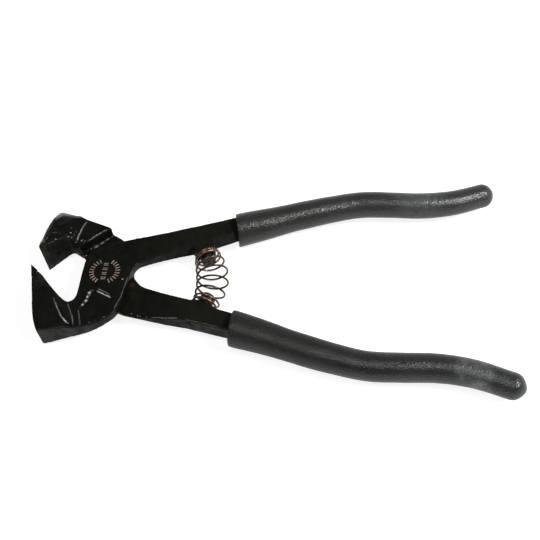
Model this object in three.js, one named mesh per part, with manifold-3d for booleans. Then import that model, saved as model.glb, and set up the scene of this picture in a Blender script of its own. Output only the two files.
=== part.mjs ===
// Glass grozing pliers: two forged levers on a lap joint, carbide edges, a return spring and vinyl grips.
// Millimetres, +Z up. The tool lies flat. The origin is on the pivot axis, on the front lever's boss face.
// +X runs from the jaws to the handles. The front lever's handle is on the +Y side, its jaw on the -Y side.
import * as THREE from 'three';
import { mergeVertices } from 'three/addons/utils/BufferGeometryUtils.js';
import Module from 'manifold-3d';

const wasm = await Module();
wasm.setup();

// Lap joint
const PLATE = 4.5;              // thickness of each lever at the pivot
const LAP_GAP = 0.3;            // running gap between the two plates
const FIT_GAP = 0.3;            // gap between pieces that touch on the real tool
const RIVET_R = 4.0;
const RIVET_HEAD_R = 5.6;
const RIVET_HEAD_H = 1.6;
const SHOULDER_R = 17.2;        // distance from the pivot to the shoulder where a jaw gets its full depth
const SHOULDER_ANGLE = 131.3;   // direction of the rear lever's shoulder seen from the pivot, degrees

// Jaws
const EDGE_LENGTH = 17.2;       // length of the cutting edges, across the tool
const TIP_THICK = 2.2;          // carbide, along the tool
const TIP_DEPTH = 5.6;          // carbide, from the cutting edge to the back of its pocket
const FRONT_EDGE = [-30.9, -2.3];
const FRONT_INNER_SLOPE = [-25.2, -6.7];  // the front jaw's mouth side runs from the edge to here
const FRONT_NOSE = [-27, -19];            // and its front from the edge to here
const REAR_EDGE = [-29.8, 7.2];
const REAR_INNER_SLOPE = [-26.4, 9.8];
const REAR_NOSE = [-30.8, 13];
const JAW_BACK_HALF = 4.5;      // half thickness of a jaw at its root
const REAR_FLARE_X = -12.8;     // where the rear jaw's far face starts to flare
const BEVEL_CROWN = 0.1;        // how far the rear jaw's bevel bulges, as a share of its width

// Handles
const HANDLE_HALF = 3.75;       // half thickness of the bare handle
const HANDLE_HALF_WIDTH = 4.15;
const RAMP_START_X = 18;        // the lap side of a handle ramps out from here
const RAMP_END_X = 38.5;
const CREST_START_X = 12;       // the outer side drops from PLATE to HANDLE_HALF from here
const CREST_END_X = 40;

// Grips: a mirrored pair on one S curve, given by its height at equal steps along the tool
const GRIP_START_X = 56.4;
const GRIP_END_X = 167.9;
const GRIP_BEND_Y = [26.1, 30.5, 35.2, 39.4, 42.5, 42.8, 42.6, 44.6, 49.4];
const MOUTH_SHIFT = 0.5;        // both grip mouths sit this much towards the rear handle's side
const MOUTH_STAGGER = 0.8;      // the front grip starts this much nearer the joint, the rear one further off
const MOUTH_SKEW = 0.15;        // how far the mouths lean from square to the handle
const MOUTH_BLEND = 12;         // the skew dies out this far into the grip
const HANDLE_SHIFT = 0.9;       // the handles enter the mouths this much off centre, towards the front
const GRIP_RADII = [7.56, 6.44, 6.0, 5.86, 5.45];
const GRIP_LIP = 0.5;
const GRIP_SIDES = 24;
const GRIP_STEPS = 24;
const TANG_END_R = 2.9;
const CORNER_BEND = 0.08;       // 0 is a sharp rectangle, 1 is round: the tang goes from this to round
const TANG_STOP = 6;            // solid vinyl beyond the tang's end
const TANG_OVERLAP = 1.2;       // the full handle section reaches this far into the grip

// Return spring
const WIRE_R = 0.45;
const COIL_TURNS = 8;
const COIL_END_R = 5.1;
const COIL_MID_R = 6.8;
const COIL_END_PITCH = 1.6;
const CLOSED_TURNS = 1.5;       // turns that lie closed on the front seat
const REAR_CLOSED_TURNS = 1.3;
const OPENING_TURNS = 1;        // turns over which the pitch opens out behind the front closed ones
const CLOSING_TURNS = 0.4;
const COIL_LEAD = 11.5;         // how far the coil keeps the direction of its seat
const COIL_PHASE = 0.5;         // where the wire starts, in turns
const CURL_STEPS = 8;
const WIRE_SIDES = 5;
const SEAT_REACH = 41.3;        // the front seat's place along the tool
const REAR_SEAT_REACH = 44.1;
const PAD_RISE = 3.7;           // how proud the front seat stands of the handle's edge
const REAR_PAD_RISE = 1.2;
const PAD_LENGTH = 8.4;
const PAD_FLARE = 0.9;
const PEG_R = 3.3;
const PEG_TIP = 8.9;            // from the handle's edge to the end of the front peg
const REAR_PEG_TIP = 6.9;
const PEG_ROUND = 1.3;
const PEG_SHANK_R = 2.2;
const PEG_SHANK = 5;

const TALL = 30;                // more than the tool's depth, for through cuts
const halfLap = LAP_GAP / 2;
const halfEdge = EDGE_LENGTH / 2;

// Solids from three.js geometry
function toSolid(geometry) {
  const bare = geometry.clone();
  bare.deleteAttribute('normal');
  bare.deleteAttribute('uv');
  const merged = mergeVertices(bare, 1e-4);
  return new wasm.Manifold(new wasm.Mesh({
    numProp: 3,
    vertProperties: new Float32Array(merged.attributes.position.array),
    triVerts: new Uint32Array(merged.index.array),
  }));
}

function toGeometry(solid) {
  const mesh = solid.getMesh();
  const geometry = new THREE.BufferGeometry();
  geometry.setAttribute('position', new THREE.BufferAttribute(mesh.vertProperties, 3));
  geometry.setIndex(new THREE.BufferAttribute(mesh.triVerts, 1));
  geometry.computeVertexNormals();
  return geometry;
}

function extrudePlan(shape, low, high, curveSegments = 6) {
  const settings = { depth: high - low, bevelEnabled: false, curveSegments };
  return toSolid(new THREE.ExtrudeGeometry(shape, settings).translate(0, 0, low));
}

// A side profile is drawn in X and Z and runs through the tool along Y.
function extrudeSide(points, low, high) {
  const shape = new THREE.Shape(points.map(([x, z]) => new THREE.Vector2(x, z)));
  const geometry = new THREE.ExtrudeGeometry(shape, { depth: high - low, bevelEnabled: false });
  return toSolid(geometry.rotateX(Math.PI / 2).translate(0, high, 0));
}

// Everything on the side of a plane that its normal points to, as a large box
function halfSpace(point, normal, size = 200) {
  const box = new THREE.BoxGeometry(size, size, size).translate(0, 0, size / 2);
  const up = new THREE.Vector3(0, 0, 1);
  const turn = new THREE.Quaternion().setFromUnitVectors(up, normal.clone().normalize());
  return toSolid(box.applyQuaternion(turn).translate(point.x, point.y, point.z));
}

// What lies above (side 1) or below (side -1) the plane through three points
function beyondPlane(a, b, c, side) {
  const [p, q, r] = [a, b, c].map((corner) => new THREE.Vector3(...corner));
  const normal = q.clone().sub(p).cross(r.clone().sub(p));
  if (normal.z * side < 0) normal.negate();
  return halfSpace(p, normal);
}

// A closed skin over rings of points, capped at both ends
function loft(rings) {
  const count = rings[0].length;
  const points = rings.flat();
  const index = [];
  for (let ring = 0; ring + 1 < rings.length; ring += 1) {
    for (let i = 0; i < count; i += 1) {
      const a = ring * count + i;
      const b = ring * count + (i + 1) % count;
      index.push(a, b, b + count, a, b + count, a + count);
    }
  }
  const last = (rings.length - 1) * count;
  for (let i = 1; i + 1 < count; i += 1) {
    index.push(0, i + 1, i);
    index.push(last, last + i, last + i + 1);
  }
  const geometry = new THREE.BufferGeometry().setFromPoints(points);
  geometry.setIndex(index);
  if (signedVolume(points, index) < 0) geometry.setIndex(index.reverse());
  geometry.computeVertexNormals();
  return geometry;
}

function signedVolume(points, index) {
  let total = 0;
  for (let i = 0; i < index.length; i += 3) {
    const [a, b, c] = [points[index[i]], points[index[i + 1]], points[index[i + 2]]];
    total += a.dot(new THREE.Vector3().crossVectors(b, c)) / 6;
  }
  return total;
}

const vec2 = ([x, y]) => new THREE.Vector2(x, y);
const vec3 = (x, y, z) => new THREE.Vector3(x, y, z);
const mix = THREE.MathUtils.lerp;

// Spring seats: a raised pad on each handle's inner edge, square to that edge
const FRONT_INNER_EDGE = { from: [30.7, 11.0], to: [57.5, 22.3] };
const REAR_INNER_EDGE = { from: [30.9, -12.3], to: [57.4, -22.0] };

function makeSeat(edge, reach, rise, tip) {
  const along = vec2(edge.to).sub(vec2(edge.from)).normalize();
  const inward = new THREE.Vector2(along.y, -along.x);
  if (inward.y * edge.from[1] > 0) inward.negate();
  const foot = vec2(edge.from).addScaledVector(along, (reach - edge.from[0]) / along.x);
  const corner = (run, height) => foot.clone().addScaledVector(along, run).addScaledVector(inward, height);
  const half = PAD_LENGTH / 2;
  return {
    inward,
    face: corner(0, rise),
    outline: [
      corner(-half - PAD_FLARE, 0), corner(-half, rise), corner(half, rise), corner(half + PAD_FLARE, 0),
    ],
    pegLength: tip - rise,
  };
}

const frontSeat = makeSeat(FRONT_INNER_EDGE, SEAT_REACH, PAD_RISE, PEG_TIP);
const rearSeat = makeSeat(REAR_INNER_EDGE, REAR_SEAT_REACH, REAR_PAD_RISE, REAR_PEG_TIP);

// The grips' centre line, and the handle's straight section carried into it. side is 1 in front, -1 behind.
function gripCurve(side) {
  const step = (GRIP_END_X - GRIP_START_X) / (GRIP_BEND_Y.length - 1);
  const points = GRIP_BEND_Y.map((y, i) => vec3(GRIP_START_X + i * step, side * y, 0));
  points[0].add(vec3(-side * MOUTH_STAGGER, -MOUTH_SHIFT, 0));
  return new THREE.CatmullRomCurve3(points);
}

// A cross-section of the grip: its centre and its sideways direction, a little skewed at the mouth
function gripFrame(curve, distance) {
  const length = curve.getLength();
  const u = THREE.MathUtils.clamp(distance / length, 0, 1);
  const tangent = curve.getTangentAt(u);
  const centre = curve.getPointAt(u).addScaledVector(tangent, distance - u * length);
  const skew = Math.sign(tangent.y) * MOUTH_SKEW * THREE.MathUtils.clamp(1 - distance / MOUTH_BLEND, 0, 1);
  return { centre, across: vec3(-tangent.y, tangent.x, 0).addScaledVector(tangent, skew) };
}

function handleEnd(side) {
  const { centre, across } = gripFrame(gripCurve(side), TANG_OVERLAP);
  centre.y += HANDLE_SHIFT;
  return [1, -1].map((way) => centre.clone().addScaledVector(across, way * side * HANDLE_HALF_WIDTH));
}

// Plan outlines of the two levers
function frontPlan() {
  const [outerEnd, innerEnd] = handleEnd(1);
  const shape = new THREE.Shape();
  shape.moveTo(outerEnd.x, outerEnd.y);
  shape.lineTo(38.8, 25.3);
  shape.lineTo(21.4, 19.5);
  shape.splineThru([
    [7, 15.2], [0.4, 12.9], [-4.8, 9.6], [-8.1, 7], [-9.2, 3.6], [-9.5, -4], [-9.3, -11.4],
  ].map(vec2));
  shape.splineThru([
    [-9.8, -16.2], [-12.3, -18.3], [-15.8, -16.4], [-20.7, -11.7], FRONT_INNER_SLOPE,
  ].map(vec2));
  shape.lineTo(...FRONT_EDGE);
  shape.lineTo(...FRONT_NOSE);
  shape.splineThru([[-26, -23.5], [-24.4, -28.5], [-22.2, -33.2]].map(vec2));
  shape.lineTo(-11.7, -31.5);
  shape.splineThru([[-3, -30.3], [3, -27.6], [8, -23], [10.2, -17], [10.8, -9], [12.2, -1]].map(vec2));
  shape.splineThru([[14, 2.4], [17.6, 4.4], [24.1, 7.8]].map(vec2));
  shape.lineTo(...FRONT_INNER_EDGE.from);
  for (const corner of frontSeat.outline) shape.lineTo(corner.x, corner.y);
  shape.lineTo(innerEnd.x, innerEnd.y);
  return shape;
}

function rearPlan() {
  const [outerEnd, innerEnd] = handleEnd(-1);
  const shape = new THREE.Shape();
  shape.moveTo(outerEnd.x, outerEnd.y);
  shape.lineTo(41.1, -26.2);
  shape.splineThru([
    [36.2, -25], [22.3, -23.2], [11, -21.3], [4, -15.6], [-4.8, -10.4], [-8.1, -7], [-9.3, -2],
  ].map(vec2));
  shape.splineThru([
    [-9.3, 3.6], [-12.6, 10], [-15, 12.1], [-19.4, 15], [-22.6, 13.1], REAR_INNER_SLOPE,
  ].map(vec2));
  shape.lineTo(...REAR_EDGE);
  shape.splineThru([
    REAR_NOSE, [-31.1, 20], [-30.6, 26], [-28.7, 32], [-27.1, 32.8], [-22, 31.4], [-18.6, 30.4],
  ].map(vec2));
  shape.lineTo(-14.6, 27.6);
  shape.lineTo(-2.5, 22.9);
  shape.splineThru([[4.5, 18.6], [9, 12.5], [10.6, 6], [11.5, 0.4], [12.6, -2.3]].map(vec2));
  shape.splineThru([[15.6, -5.6], [19.4, -7.6], [24, -9.6]].map(vec2));
  shape.lineTo(...REAR_INNER_EDGE.from);
  for (const corner of rearSeat.outline) shape.lineTo(corner.x, corner.y);
  shape.lineTo(innerEnd.x, innerEnd.y);
  return shape;
}

// The lap plate and bare handle: full plate at the pivot, then a ramp out to the handle's depth.
// up is 1 in front, -1 behind.
function handleProfile(up) {
  const points = [
    [-TALL, halfLap], [RAMP_START_X, halfLap], [RAMP_END_X, -HANDLE_HALF], [3 * TALL, -HANDLE_HALF],
    [3 * TALL, HANDLE_HALF], [CREST_END_X, HANDLE_HALF], [CREST_START_X, PLATE], [-TALL, PLATE],
  ];
  return extrudeSide(points.map(([x, z]) => [x, up * z]), -2 * TALL, 2 * TALL);
}

function shoulderSpace(up) {
  const angle = THREE.MathUtils.degToRad(SHOULDER_ANGLE) * -up;
  const normal = vec3(Math.cos(angle), Math.sin(angle), 0);
  return halfSpace(normal.clone().multiplyScalar(SHOULDER_R), normal);
}

// Carbide insert outline: its working face carries on the jaw's inner slope, its front lies on the jaw's
function tipOutline(edge, inner, front, grow) {
  const corner = vec2(edge);
  const slope = vec2(inner).sub(corner).normalize();
  const back = vec2(front).sub(corner).normalize();
  const across = Math.abs(slope.x * back.y - slope.y * back.x);
  const run = (TIP_THICK + grow) / across;
  const a = corner.clone().addScaledVector(slope, run);
  const b = a.clone().addScaledVector(back, TIP_DEPTH + grow);
  const c = corner.clone().addScaledVector(back, TIP_DEPTH + grow);
  return { corner, a, b, c, slope, back };
}

function tipShape(edge, inner, front) {
  const { corner, a, b, c } = tipOutline(edge, inner, front, 0);
  return new THREE.Shape([corner, a, b, c]);
}

// The pocket is the insert grown by the fit gap on its two buried sides and opened past the jaw elsewhere.
function tipPocket(edge, inner, front) {
  const { a, b, slope, back } = tipOutline(edge, inner, front, FIT_GAP);
  const below = a.clone().addScaledVector(back, -3);
  const outside = b.clone().addScaledVector(slope, -3 - TIP_THICK);
  const outsideLow = outside.clone().addScaledVector(back, -3 - TIP_DEPTH);
  return new THREE.Shape([below, b, outside, outsideLow]);
}

// Jaws: the plan cut to depth by its near and far faces
function frontFaces() {
  const near = beyondPlane([...FRONT_EDGE, halfEdge], [-22.2, -33.2, 5], [-7.7, -31.1, 4.6], 1);
  const far = beyondPlane(
    [...FRONT_EDGE, -halfEdge], [-22.2, -33.2, -5.9], [-7.7, -31.1, -JAW_BACK_HALF], -1);
  return { near, far };
}

function frontJaw(plan) {
  const block = extrudePlan(plan, -halfEdge, halfEdge).intersect(shoulderSpace(1));
  const { near, far } = frontFaces();
  const ramp = beyondPlane([-11.6, -20.2, JAW_BACK_HALF], [-7, -28.9, JAW_BACK_HALF], [-18, -17.8, 6.4], 1);
  const farBevel = beyondPlane(
    [-18, -32.2, -5.4], [3.1, -27.1, -halfLap], [-7, -22.5, -JAW_BACK_HALF - 0.4], -1);
  const root = extrudePlan(plan, -halfEdge, JAW_BACK_HALF).intersect(shoulderSpace(1));
  const flared = block.subtract(near).subtract(ramp).add(root);
  return flared.subtract(far).subtract(farBevel).subtract(forgingCrease());
}

// A shallow fold left by the forging die across the front jaw's root
function forgingCrease() {
  const depth = 0.8;
  const ring = (a, b) => [
    vec3(a[0], a[1], JAW_BACK_HALF + depth),
    vec3((a[0] + b[0]) / 2, (a[1] + b[1]) / 2, JAW_BACK_HALF - depth),
    vec3(b[0], b[1], JAW_BACK_HALF + depth),
  ];
  return toSolid(loft([ring([-5.2, -19.2], [-14, -15.2]), ring([-3.3, -34], [-5.4, -33.4])]));
}

function rearFaces() {
  const reach = REAR_EDGE[0];
  const near = beyondPlane(
    [-13.2, 26.2, JAW_BACK_HALF], [-15.2, 13.5, JAW_BACK_HALF], [...REAR_EDGE, halfEdge], 1);
  const far = beyondPlane(
    [REAR_FLARE_X, 0, -JAW_BACK_HALF], [REAR_FLARE_X, TALL, -JAW_BACK_HALF], [reach, 0, -halfEdge], -1);
  return { near, far };
}

function rearJaw(plan) {
  const block = extrudePlan(plan, -halfEdge, halfEdge).intersect(shoulderSpace(-1));
  const { near, far } = rearFaces();
  const root = extrudePlan(plan, -JAW_BACK_HALF, JAW_BACK_HALF).intersect(shoulderSpace(-1));
  return block.subtract(near).subtract(far).add(root).subtract(crescentCut());
}

// The rounded bevel ground round the rear jaw's outer corner. Each row is its inner line and its outer line.
function crescentCut() {
  const rows = [
    [[-12.5, 27, 4.9], [-12.4, 29.6, 4.4]],
    [[-18.7, 26.8, 6.0], [-19.6, 31.0, 2.2]],
    [[-22.0, 23.5, 6.8], [-26.9, 33, 2.4]],
    [[-24.0, 19.6, 7.4], [-30.1, 28.5, 2.8]],
    [[-25.9, 16.4, 7.8], [-31.5, 21, 3.4]],
    [[-27.6, 12.2, 8.3], [-31.1, 14, 5.2]],
    [[-28.9, 7, 8.9], [-31.2, 6.5, 8.2]],
  ];
  const top = 2 * halfEdge;
  const rings = rows.map(([inner, outer]) => {
    const a = vec3(...inner);
    const b = vec3(...outer);
    const run = b.clone().sub(a);
    const crown = a.clone().addScaledVector(run, 0.5).add(vec3(0, 0, BEVEL_CROWN * run.length()));
    const start = a.clone().addScaledVector(run, -0.6).add(vec3(0, 0, 0.6 * BEVEL_CROWN * run.length()));
    const end = b.clone().addScaledVector(run, 0.8).add(vec3(0, 0, -1.6 * BEVEL_CROWN * run.length()));
    return [start, a, crown, b, end, vec3(end.x, end.y, top), vec3(start.x, start.y, top)];
  });
  return toSolid(loft(rings));
}

// Tang: the handle's forged end inside the grip. grow gives the grip's bore.
function tangRing(curve, distance, reach, grow) {
  const { centre, across } = gripFrame(curve, distance);
  const t = THREE.MathUtils.clamp((distance - TANG_OVERLAP - 1) / (reach - TANG_OVERLAP - 1), 0, 1);
  centre.y += HANDLE_SHIFT * (1 - t);
  const width = mix(HANDLE_HALF_WIDTH, TANG_END_R, t) + grow;
  const depth = mix(HANDLE_HALF, TANG_END_R, t) + grow;
  const bend = mix(CORNER_BEND, 1, Math.min(1, 2 * t));
  const shaped = (value) => Math.sign(value) * Math.abs(value) ** bend;
  return Array.from({ length: GRIP_SIDES }, (_, i) => {
    const angle = 2 * Math.PI * i / GRIP_SIDES;
    const sideways = width * shaped(Math.cos(angle));
    return centre.clone().addScaledVector(across, sideways).add(vec3(0, 0, depth * shaped(Math.sin(angle))));
  });
}

function tang(side) {
  const curve = gripCurve(side);
  const reach = curve.getLength() - TANG_STOP;
  const steps = 16;
  const rings = [tangRing(curve, -1, reach, -0.02)];
  for (let i = 0; i <= steps; i += 1) {
    rings.push(tangRing(curve, mix(TANG_OVERLAP, reach, i / steps), reach, -0.02));
  }
  return toSolid(loft(rings));
}

// The rear handle's outer corner is chamfered heavily where it leaves the joint. Each row is a place on the
// handle's outer edge and how far the chamfer climbs above the outer face there.
function cornerChamfer() {
  const far = -PLATE - 1;
  const row = (x, y, size) => [
    vec3(x, y - 4, far), vec3(x, y + size + 1, far), vec3(x, y - 4, far + size + 5),
  ];
  const rows = [
    [0, -21.5, 4.2], [13, -22.5, 4.2], [22, -23.4, 2.5], [28, -24.2, 1.7], [42, -26.6, 0.9], [54, -30, 0.3],
  ];
  return toSolid(loft(rows.map(([x, y, size]) => row(x, y, size))));
}

function rivetProfile(grow, reach) {
  const r = RIVET_R + grow;
  const head = RIVET_HEAD_R + grow;
  const face = PLATE;
  const neck = face - RIVET_HEAD_H - grow * 0.4;
  const side = [[r, -neck], [r, neck], [head, face]];
  const profile = [[0, -reach], [head, -reach], [head, -face], ...side, [head, reach], [0, reach]];
  return toSolid(lathe(profile.filter((p, i) => i === 0 || p.join() !== profile[i - 1].join())));
}

function lathe(profile, segments = 40) {
  const points = profile.map(vec2);
  return new THREE.LatheGeometry(points, segments).rotateX(Math.PI / 2);
}

// Spring pegs stand on their pads, square to the handle's edge.
function onSeat(seat, geometry) {
  const up = vec3(seat.inward.x, seat.inward.y, 0);
  const turn = new THREE.Quaternion().setFromUnitVectors(vec3(0, 1, 0), up);
  return geometry.applyQuaternion(turn).translate(seat.face.x, seat.face.y, 0);
}

function pegGeometry(seat) {
  const arc = Array.from({ length: 6 }, (_, i) => {
    const angle = i / 5 * Math.PI / 2;
    const shoulder = seat.pegLength - PEG_ROUND;
    return [PEG_R - PEG_ROUND + PEG_ROUND * Math.cos(angle), shoulder + PEG_ROUND * Math.sin(angle)];
  });
  const profile = [[0, -PEG_SHANK], [PEG_SHANK_R, -PEG_SHANK], [PEG_SHANK_R, 0], [PEG_SHANK_R, FIT_GAP],
    [PEG_R, FIT_GAP], ...arc, [0, seat.pegLength]];
  return onSeat(seat, new THREE.LatheGeometry(profile.map(vec2), 24));
}

function pegHole(seat) {
  const r = PEG_SHANK_R + FIT_GAP;
  const deep = PEG_SHANK + FIT_GAP;
  const profile = [[0, -deep], [r, -deep], [r, 1], [0, 1]];
  return toSolid(onSeat(seat, new THREE.LatheGeometry(profile.map(vec2), 24)));
}

// Levers
function finishLever(body, side, edge, inner, front, seat) {
  const pocket = extrudePlan(tipPocket(edge, inner, front), -TALL, TALL);
  return body.add(tang(side)).subtract(pocket).subtract(rivetProfile(FIT_GAP, TALL)).subtract(pegHole(seat));
}

function frontLever() {
  const plan = frontPlan();
  const handle = extrudePlan(plan, -TALL, TALL).intersect(handleProfile(1));
  const body = handle.add(frontJaw(plan));
  return finishLever(body, 1, FRONT_EDGE, FRONT_INNER_SLOPE, FRONT_NOSE, frontSeat);
}

function rearLever() {
  const plan = rearPlan();
  const handle = extrudePlan(plan, -TALL, TALL).intersect(handleProfile(-1));
  const body = handle.subtract(cornerChamfer()).add(rearJaw(plan));
  return finishLever(body, -1, REAR_EDGE, REAR_INNER_SLOPE, REAR_NOSE, rearSeat);
}

// The inserts are ground level with the jaws' near and far faces.
function carbideTip(edge, inner, front, { near, far }) {
  return extrudePlan(tipShape(edge, inner, front), -halfEdge, halfEdge).subtract(near).subtract(far);
}

// Grip: a dipped vinyl sleeve, closed and round at its end
function gripRadius(u) {
  const place = THREE.MathUtils.clamp(u, 0, 1) * (GRIP_RADII.length - 1);
  const i = Math.min(Math.floor(place), GRIP_RADII.length - 2);
  const t = place - i;
  return mix(GRIP_RADII[i], GRIP_RADII[i + 1], t * t * (3 - 2 * t));
}

function gripRing(curve, distance, radius) {
  const { centre, across } = gripFrame(curve, distance);
  return Array.from({ length: GRIP_SIDES }, (_, i) => {
    const angle = 2 * Math.PI * i / GRIP_SIDES;
    const height = vec3(0, 0, radius * Math.sin(angle));
    return centre.clone().addScaledVector(across, radius * Math.cos(angle)).add(height);
  });
}

function grip(side) {
  const curve = gripCurve(side);
  const length = curve.getLength();
  const reach = length - TANG_STOP;
  const rings = [tangRing(curve, reach + FIT_GAP, reach, FIT_GAP)];
  for (let i = GRIP_STEPS; i >= 0; i -= 1) {
    rings.push(tangRing(curve, reach * i / GRIP_STEPS, reach, FIT_GAP));
  }
  const mouth = gripRadius(0);
  rings.push(gripRing(curve, 0, mouth - GRIP_LIP));
  rings.push(gripRing(curve, GRIP_LIP * 0.3, mouth - GRIP_LIP * 0.3));
  for (let i = 0; i <= GRIP_STEPS; i += 1) {
    const distance = mix(GRIP_LIP, length, i / GRIP_STEPS);
    rings.push(gripRing(curve, distance, gripRadius(distance / length)));
  }
  const endRadius = gripRadius(1);
  for (const angle of [18, 36, 54, 72, 84]) {
    const turn = THREE.MathUtils.degToRad(angle);
    rings.push(gripRing(curve, length + endRadius * Math.sin(turn), endRadius * Math.cos(turn)));
  }
  return loft(rings);
}

// Barrel spring: closed ends on the two pads, open in the middle, bowed as its tilted seats make it
function springAxis() {
  const stand = WIRE_R + FIT_GAP;
  const point = (seat, away) => vec3(seat.face.x, seat.face.y, 0)
    .addScaledVector(vec3(seat.inward.x, seat.inward.y, 0), away);
  return new THREE.CubicBezierCurve3(point(frontSeat, stand), point(frontSeat, stand + COIL_LEAD),
    point(rearSeat, stand + COIL_LEAD), point(rearSeat, stand));
}

// Where each step of the wire lies along the axis, from 0 to 1, with the pitch growing from the closed ends
function coilStations(steps, length) {
  const { smoothstep } = THREE.MathUtils;
  const open = (turn) => smoothstep(turn, CLOSED_TURNS, CLOSED_TURNS + OPENING_TURNS)
    * smoothstep(COIL_TURNS - turn, REAR_CLOSED_TURNS, REAR_CLOSED_TURNS + CLOSING_TURNS);
  const weights = Array.from({ length: steps }, (_, i) => open((i + 0.5) / CURL_STEPS));
  const sum = weights.reduce((total, weight) => total + weight, 0);
  const closed = COIL_END_PITCH / CURL_STEPS;
  const spare = length - closed * steps;
  const stations = [0];
  for (const weight of weights) {
    stations.push(stations[stations.length - 1] + (closed + spare * weight / sum) / length);
  }
  return stations;
}

function springPath() {
  const axis = springAxis();
  const steps = Math.round(COIL_TURNS * CURL_STEPS);
  const stations = coilStations(steps, axis.getLength());
  return stations.map((u, i) => {
    const place = Math.min(u, 1);
    const tangent = axis.getTangentAt(place);
    const across = vec3(-tangent.y, tangent.x, 0);
    const radius = mix(COIL_END_R, COIL_MID_R, Math.sin(Math.PI * i / steps) ** 2);
    const angle = 2 * Math.PI * (i / CURL_STEPS + COIL_PHASE);
    return axis.getPointAt(place).addScaledVector(across, radius * Math.cos(angle))
      .add(vec3(0, 0, radius * Math.sin(angle)));
  });
}

function springGeometry() {
  const path = springPath();
  printLeastGap(path);
  const rings = path.map((point, i) => {
    const before = path[Math.max(i - 1, 0)];
    const after = path[Math.min(i + 1, path.length - 1)];
    const tangent = after.clone().sub(before).normalize();
    const side = vec3(0, 0, 1).cross(tangent).normalize();
    const up = tangent.clone().cross(side);
    return Array.from({ length: WIRE_SIDES }, (_, k) => {
      const angle = 2 * Math.PI * k / WIRE_SIDES;
      const sideways = point.clone().addScaledVector(side, WIRE_R * Math.cos(angle));
      return sideways.addScaledVector(up, WIRE_R * Math.sin(angle));
    });
  });
  return loft(rings);
}

// The least gap of the wire to itself, between points at least half a turn apart
function printLeastGap(path) {
  const fine = [];
  for (let i = 0; i + 1 < path.length; i += 1) {
    for (let k = 0; k < 4; k += 1) fine.push(path[i].clone().lerp(path[i + 1], k / 4));
  }
  const apart = CURL_STEPS * 2;
  let least = Infinity;
  for (let i = 0; i < fine.length; i += 1) {
    for (let k = i + apart; k < fine.length; k += 1) least = Math.min(least, fine[i].distanceTo(fine[k]));
  }
  console.log(`spring: least gap to itself ${(least - 2 * WIRE_R).toFixed(2)} mm`);
}

// Finishes
const finish = (color, roughness, metalness) => ({ color, roughness, metalness });
const BLACK_PAINT = finish(0x16181a, 0.35, 0.3);
const PAINTED_CARBIDE = finish(0x1e1f20, 0.45, 0.4);
const BLACKENED_STEEL = finish(0x1a1b1c, 0.4, 0.8);
const BRONZED_WIRE = finish(0x3a2a22, 0.35, 0.9);
const GREY_VINYL = finish(0x3a3c3e, 0.75, 0);

function piece(name, geometry, look) {
  const mesh = new THREE.Mesh(geometry, new THREE.MeshStandardMaterial(look));
  mesh.name = name;
  return mesh;
}

// Assembly. The pieces are drawn about the middle of the lap joint and set down so that the boss face
// is at zero.
const frontTip = carbideTip(FRONT_EDGE, FRONT_INNER_SLOPE, FRONT_NOSE, frontFaces());
const rearTip = carbideTip(REAR_EDGE, REAR_INNER_SLOPE, REAR_NOSE, rearFaces()).subtract(crescentCut());
const pliers = new THREE.Group();
pliers.position.z = -PLATE;
pliers.add(
  piece('front_lever', toGeometry(frontLever()), BLACK_PAINT),
  piece('rear_lever', toGeometry(rearLever()), BLACK_PAINT),
  piece('pivot_rivet', toGeometry(rivetProfile(0, PLATE)), BLACKENED_STEEL),
  piece('front_carbide_tip', toGeometry(frontTip), PAINTED_CARBIDE),
  piece('rear_carbide_tip', toGeometry(rearTip), PAINTED_CARBIDE),
  piece('front_spring_peg', pegGeometry(frontSeat), BLACKENED_STEEL),
  piece('rear_spring_peg', pegGeometry(rearSeat), BLACKENED_STEEL),
  piece('return_spring', springGeometry(), BRONZED_WIRE),
  piece('front_grip', grip(1), GREY_VINYL),
  piece('rear_grip', grip(-1), GREY_VINYL),
);

const assembly = new THREE.Group();
assembly.add(pliers);

export default assembly;
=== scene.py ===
import math

import bmesh
import bpy
import numpy as np
from mathutils import Matrix, Vector
from mathutils.bvhtree import BVHTree


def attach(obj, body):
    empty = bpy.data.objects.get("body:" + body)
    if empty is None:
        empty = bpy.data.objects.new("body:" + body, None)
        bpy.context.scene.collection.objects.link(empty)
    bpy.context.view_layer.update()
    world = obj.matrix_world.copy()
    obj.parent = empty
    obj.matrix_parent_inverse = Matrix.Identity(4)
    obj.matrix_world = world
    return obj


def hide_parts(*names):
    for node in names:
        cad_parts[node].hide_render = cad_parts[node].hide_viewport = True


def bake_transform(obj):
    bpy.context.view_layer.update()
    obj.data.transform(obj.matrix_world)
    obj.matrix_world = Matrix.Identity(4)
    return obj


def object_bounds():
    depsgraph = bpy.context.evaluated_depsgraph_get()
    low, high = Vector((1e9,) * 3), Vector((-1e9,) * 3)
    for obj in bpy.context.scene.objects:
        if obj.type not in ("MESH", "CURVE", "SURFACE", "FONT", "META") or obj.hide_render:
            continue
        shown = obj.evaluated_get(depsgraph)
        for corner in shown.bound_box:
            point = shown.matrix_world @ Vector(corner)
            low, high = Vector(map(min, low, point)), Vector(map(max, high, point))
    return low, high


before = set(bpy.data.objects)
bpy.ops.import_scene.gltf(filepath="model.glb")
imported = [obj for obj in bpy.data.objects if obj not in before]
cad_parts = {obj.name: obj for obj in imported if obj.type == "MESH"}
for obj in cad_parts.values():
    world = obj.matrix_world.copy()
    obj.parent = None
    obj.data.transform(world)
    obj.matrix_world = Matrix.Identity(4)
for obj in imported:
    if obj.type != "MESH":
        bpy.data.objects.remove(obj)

CAD_BOX = [list(corner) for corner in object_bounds()]
MM = 0.001


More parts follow.
